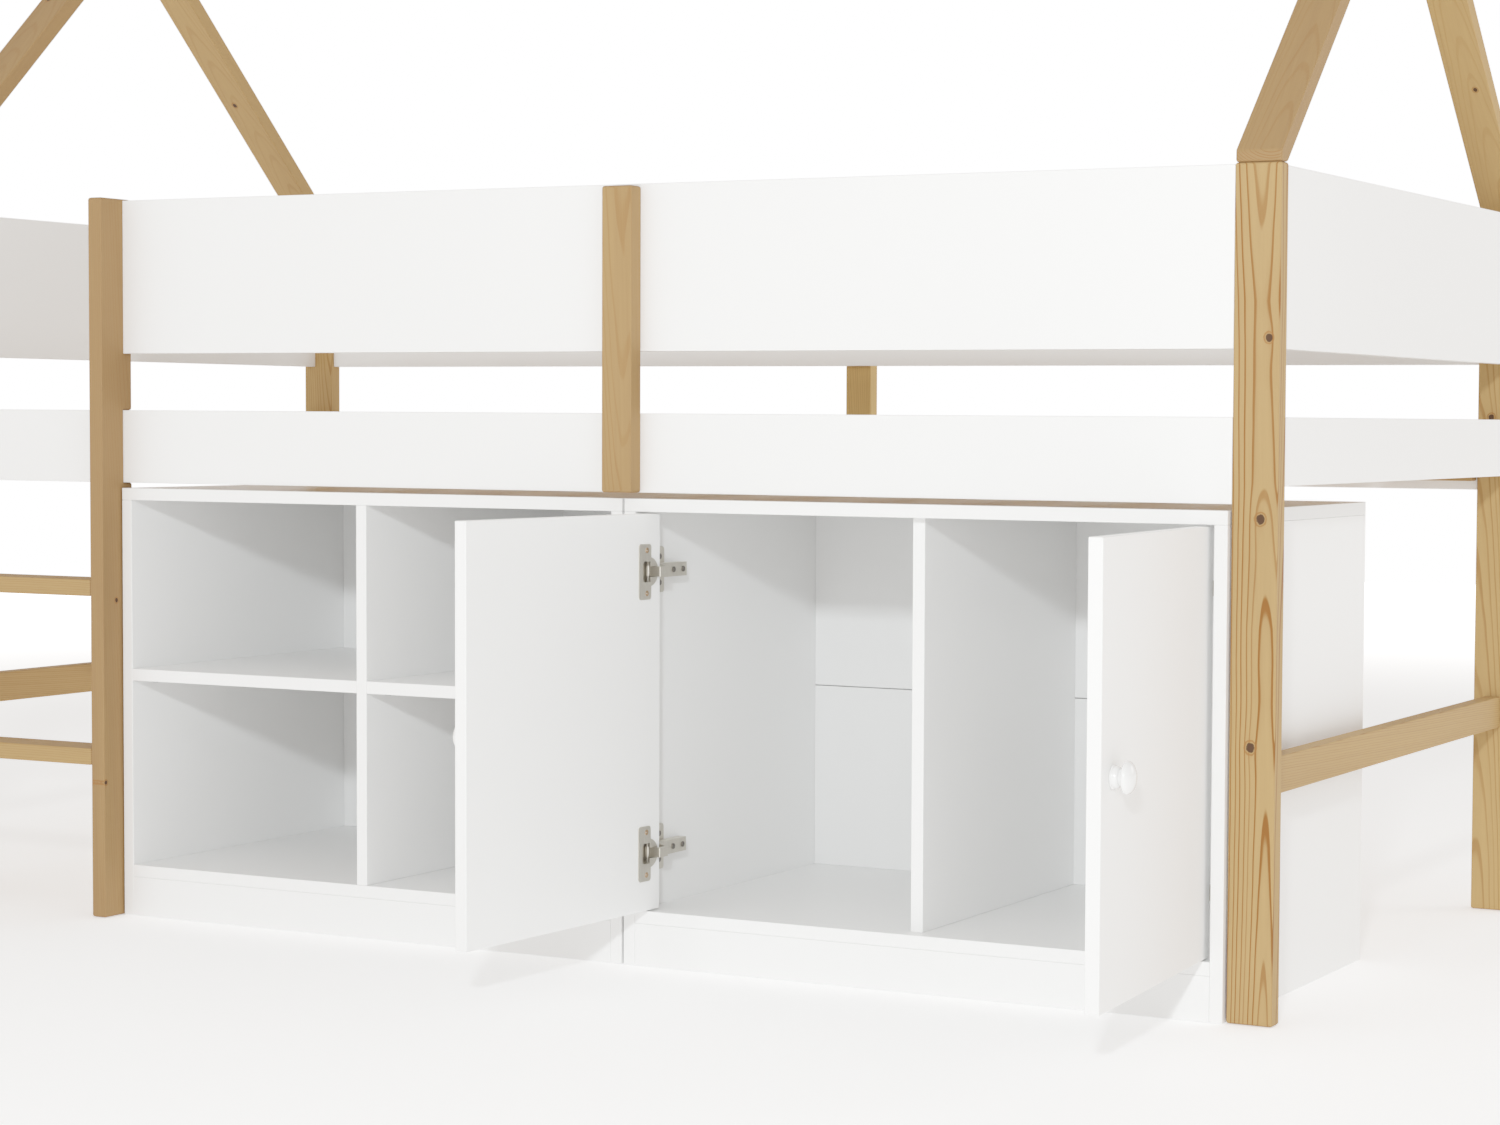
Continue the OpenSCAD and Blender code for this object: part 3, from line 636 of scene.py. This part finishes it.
def cam_cutter(low, high):
    """Cylinders where cam discs sit in this board, or None. They open on its inner face."""
    bm = bmesh.new()
    thin = 0 if high.x - low.x < high.y - low.y else 1
    found = False
    for disc_low, disc_high in solids("cam_discs"):
        middle = (disc_low + disc_high) / 2
        if all(low[i] - MM < middle[i] < high[i] + MM for i in range(3)):
            inward = disc_low[thin] if disc_low[thin] < low[thin] + MM else disc_high[thin]
            outward = disc_high[thin] if inward == disc_low[thin] else disc_low[thin]
            sign = 1 if outward > inward else -1
            axis = Vector((sign, 0, 0)) if thin == 0 else Vector((0, sign, 0))
            start = middle.copy()
            start[thin] = inward - sign * LEAD
            length = CAM_DEPTH + LEAD
            add_cylinder(bm, start + axis * length / 2, axis, CAM_R, length)
            found = True
    if not found:
        bm.free()
        return None
    return link("cutter", mesh_from("cutter", bm))


def shut_turn(side):
    """The turn that carries a door from where it is stored to where it is shut."""
    joint = next(j for j in frame["joints"] if j["child"] == "door_" + side)
    pivot = Vector(joint["pos_m"])
    turn = Matrix.Rotation(math.radians(joint["range_deg"][0]), 4, Vector(joint["axis"]))
    return Matrix.Translation(pivot) @ turn @ Matrix.Translation(-pivot)


CUP_R = 17.5 * MM
CUP_DEPTH = 13 * MM


def door(side):
    """A door with eased edges and the round pockets of its two hinge cups."""
    turn = shut_turn(side)
    low, high = solids("door_" + side, turn)[0]
    holes = bmesh.new()
    for cup_low, cup_high in solids("hinge_cups_" + side, turn):
        x = cup_low.x + CUP_R if side == "left" else cup_high.x - CUP_R
        z = (cup_low.z + cup_high.z) / 2
        add_cylinder(holes, Vector((x, high.y, z)), Y, CUP_R, 2 * CUP_DEPTH)
    bm = bmesh.new()
    add_box(bm, low, high)
    obj = link("white_door_" + side, mesh_from("door_" + side, bm))
    soften(obj, BOARD_EDGE, 2, link("cutter", mesh_from("cutter", holes)))
    obj.data.transform(turn.inverted())
    return finish_piece(obj, "door_" + side, white_board, "door_" + side)


def board(node, material=white_board):
    boxes = solids(node)
    bm = bmesh.new()
    for low, high in boxes:
        add_box(bm, low, high)
    obj = link("white_" + node, mesh_from(node, bm))
    soften(obj, BOARD_EDGE, 2, cam_cutter(*boxes[0]))
    return finish_piece(obj, node, material)


def make_boards():
    for place in ("front", "back", "left", "right"):
        board("guard_" + place)
    for node in ("side_board_front", "side_board_back", "end_board_left", "end_board_right"):
        board(node)
    for unit in ("open_unit_", "cupboard_"):
        board(unit + "top", white_top)
        for part in ("side_left", "side_right", "divider", "bottom", "plinths", "backs"):
            board(unit + part)
    board("open_unit_shelves")
    for side in ("left", "right"):
        door(side)
        knob(side)


def arc(start, end, count):
    """Angles from start to end, in radians, from degrees."""
    return [math.radians(start + (end - start) * i / (count - 1)) for i in range(count)]


def knob_outline(r, length):
    """(radius, distance from the door) along the turned knob: beaded foot, waist and round head."""
    foot, waist = 0.75 * r, 0.5 * r
    bead, bead_l, foot_l = 1.1 * MM, 2.6 * MM, 0.34 * length
    front, back = 0.38 * length, 0.2 * length
    head = length - front
    rim = foot - bead
    points = [(0.0, 0.0)]
    points += [(rim + bead * math.cos(a), bead + bead * math.sin(a)) for a in arc(-90, 60, 9)]
    fall = foot - 1.2 * MM - waist
    rise = foot_l - bead_l
    points += [(waist + fall * math.cos(a), bead_l + rise * math.sin(a)) for a in arc(0, 88, 12)]
    points += [(r * math.cos(a), head + back * math.sin(a)) for a in arc(-60, 0, 10)]
    points += [(r * math.cos(a), head + front * math.sin(a)) for a in arc(6, 90, 15)]
    return points


def knob(side):
    turn = shut_turn(side)
    low, high = solids("knob_" + side, turn)[0]
    middle = (low + high) / 2
    bm = bmesh.new()
    verts = [
        bm.verts.new((middle.x + r, high.y - out, middle.z))
        for r, out in knob_outline((high.x - low.x) / 2, high.y - low.y)
    ]
    edges = [bm.edges.new(pair) for pair in zip(verts, verts[1:])]
    bmesh.ops.spin(
        bm, geom=verts + edges, cent=(middle.x, 0, middle.z), axis=Y, angle=math.tau, steps=72,
        use_merge=True,
    )
    bmesh.ops.remove_doubles(bm, verts=bm.verts, dist=WELD)
    obj = link("turned_knob_" + side, mesh_from("knob_" + side, bm))
    obj.data.transform(turn.inverted())
    obj.data.shade_smooth()
    obj.data.set_sharp_from_angle(angle=math.radians(50))
    return finish_piece(obj, "knob_" + side, white_gloss, "door_" + side)


# ---------- metal and small parts ----------


def dress(nodes, material):
    for node in nodes:
        obj = frame["nodes"][node]
        obj.data.materials.clear()
        obj.data.materials.append(material)


def beech():
    """Bare beech, with the short dark flecks of its rays."""
    material, tree, shader = new_material("beech_dowel")
    place = tree.nodes.new("ShaderNodeTexCoord").outputs["Object"]
    fleck = noise(tree, place, (900, 900, 900), 1.0).step(0.12, 0.22)
    cloud = noise(tree, place, (60, 60, 60), 2.0, (1, 5, 2))
    pale = mix_colour(tree, cloud + 0.5, linear(206, 170, 122), linear(186, 148, 102))
    colour = mix_colour(tree, fleck * 0.5, pale, linear(150, 108, 70))
    tree.links.new(colour, shader.inputs["Base Color"])
    plug(tree, fleck * 0.1 + 0.6, shader.inputs["Roughness"])
    add_bump(tree, shader, cloud - fleck * 0.5, 0.00005)
    return material


# A cross recess: half its length, half its width and its depth
RECESS = (2.0 * MM, 0.5 * MM, 1.4 * MM)


def cross_screws(side, material):
    """The screws of a door, with a cross recess in the heads that lie in the hinge flanges."""
    node = "door_screws_" + side
    turn = shut_turn(side)
    inner_face = solids("door_" + side, turn)[0][1].y
    reach, half, depth = RECESS
    cuts = bmesh.new()
    for low, high in solids(node, turn):
        middle = (low + high) / 2
        if high.y > inner_face:
            for dx, dz in ((reach, half), (half, reach)):
                add_box(
                    cuts,
                    Vector((middle.x - dx, high.y - depth, middle.z - dz)),
                    Vector((middle.x + dx, high.y + depth, middle.z + dz)),
                )
    obj = link("cross_" + node, frame["nodes"][node].data.copy())
    obj.data.transform(turn)
    hole = obj.modifiers.new("recess", "BOOLEAN")
    hole.operation = "DIFFERENCE"
    hole.solver = "EXACT"
    hole.use_self = True
    cutter = link("cutter", mesh_from("cutter", cuts))
    hole.object = cutter
    apply_modifiers(obj)
    bpy.data.objects.remove(cutter)
    obj.data.transform(turn.inverted())
    obj.data.shade_smooth()
    obj.data.set_sharp_from_angle(angle=SHARP)
    return finish_piece(obj, node, material, "door_" + side)


def make_metal():
    nickel = metal("hinge_nickel", (0.74, 0.70, 0.62, 1.0), 0.4, (300, 300, 30))
    brass = metal("screw_brass", (0.62, 0.42, 0.26, 1.0), 0.34, (200, 200, 200))
    zinc = metal("zinc_steel", (0.62, 0.62, 0.63, 1.0), 0.38, (200, 200, 200))
    hinge = ["hinge_plates", "hinge_arms"]
    for side in ("left", "right"):
        hinge += ["hinge_cups_" + side, "hinge_pins_" + side]
    dress(hinge, nickel)
    dress(["hinge_screws"], metal("screw_steel", (0.24, 0.22, 0.2, 1.0), 0.35, (200, 200, 200)))
    dress(["cam_discs", "cam_bolts", "upright_screws", "shelf_pins"], zinc)
    for side in ("left", "right"):
        cross_screws(side, brass)
    dress(["dowels"], beech())


# ---------- studio ----------

FLOOR_R = 9.0
# Just below the feet, so that the floor doesn't show through them
FLOOR_DROP = 0.5 * MM
# The floor shines a little, and more from the first to the second of these distances, so that
# it fades into the white ground
GLOW_FADE = (3.0, 8.5)
FLOOR_GLOW = 0.7
# Highlights roll off towards this brightness, which is shown as pure white
WHITE_POINT = 2.6
TONE_LEVELS = (0.04, 0.1, 0.18, 0.28, 0.4, 0.55, 0.72, 0.92, 1.15, 1.4, 1.7, 2.1)
WORLD_TONE = (1.0, 0.96, 0.92)
WORLD_STRENGTH = 1.3
LAMP_AIM = Vector((0.3, -0.2, 0.5))
LAMPS = [
    # name, place, diameter, watts, colour
    ("key_right", (2.28, -4.3, 1.83), 0.25, 148.0, (0.92, 0.97, 1.0)),
    ("key_left", (-0.66, -4.3, 1.83), 0.25, 10.0, (0.92, 0.97, 1.0)),
    ("back_right", (2.4, 1.4, 1.0), 1.0, 8.0, (1.0, 0.99, 0.98)),
]


def make_studio():
    world = bpy.data.worlds.new("studio")
    bpy.context.scene.world = world
    world.use_nodes = True
    tree = world.node_tree
    tree.nodes.clear()
    out = tree.nodes.new("ShaderNodeOutputWorld")
    seen = tree.nodes.new("ShaderNodeBackground")
    light = tree.nodes.new("ShaderNodeBackground")
    seen.inputs["Strength"].default_value = WHITE_POINT
    light.inputs["Color"].default_value = (*WORLD_TONE, 1.0)
    light.inputs["Strength"].default_value = WORLD_STRENGTH
    seen.inputs["Color"].default_value = (1.0, 1.0, 1.0, 1.0)
    path = tree.nodes.new("ShaderNodeLightPath")
    mix = tree.nodes.new("ShaderNodeMixShader")
    tree.links.new(path.outputs["Is Camera Ray"], mix.inputs[0])
    tree.links.new(light.outputs[0], mix.inputs[1])
    tree.links.new(seen.outputs[0], mix.inputs[2])
    tree.links.new(mix.outputs[0], out.inputs[0])

    bm = bmesh.new()
    bmesh.ops.create_circle(bm, cap_ends=True, segments=96, radius=FLOOR_R)
    floor = link("floor", mesh_from("floor", bm))
    floor.location.z = -FLOOR_DROP
    material, tree, shader = new_material("floor_paper")
    shader.inputs["Base Color"].default_value = (0.9, 0.9, 0.9, 1.0)
    shader.inputs["Roughness"].default_value = 0.9
    shader.inputs["Specular IOR Level"].default_value = 0.1
    place = tree.nodes.new("ShaderNodeTexCoord").outputs["Object"]
    fx, fy, _ = split(tree, place)
    away = (fx * fx + fy * fy).math("SQRT")
    glow = away.step(*GLOW_FADE) * WHITE_POINT + FLOOR_GLOW
    shader.inputs["Emission Color"].default_value = (1.0, 1.0, 1.0, 1.0)
    plug(tree, glow, shader.inputs["Emission Strength"])
    floor.data.materials.append(material)

    for name, place, size, watts, tone in LAMPS:
        lamp = bpy.data.lights.new(name, "AREA")
        lamp.shape = "DISK"
        lamp.size = size
        lamp.energy = watts
        lamp.color = tone
        obj = bpy.data.objects.new(name, lamp)
        obj.location = place
        obj.rotation_euler = (LAMP_AIM - Vector(place)).to_track_quat("-Z", "Y").to_euler()
        bpy.context.scene.collection.objects.link(obj)

    view = bpy.context.scene.view_settings
    view.view_transform = "Standard"
    view.look = "None"
    view.use_curve_mapping = True
    mapping = view.curve_mapping
    mapping.white_level = (WHITE_POINT,) * 3
    curve = mapping.curves[3]
    for level in TONE_LEVELS:
        shown = level * (1 + level / WHITE_POINT**2) / (1 + level)
        curve.points.new(level / WHITE_POINT, shown)
    mapping.update()


make_camera()
make_studio()
make_frame()
make_boards()
make_metal()
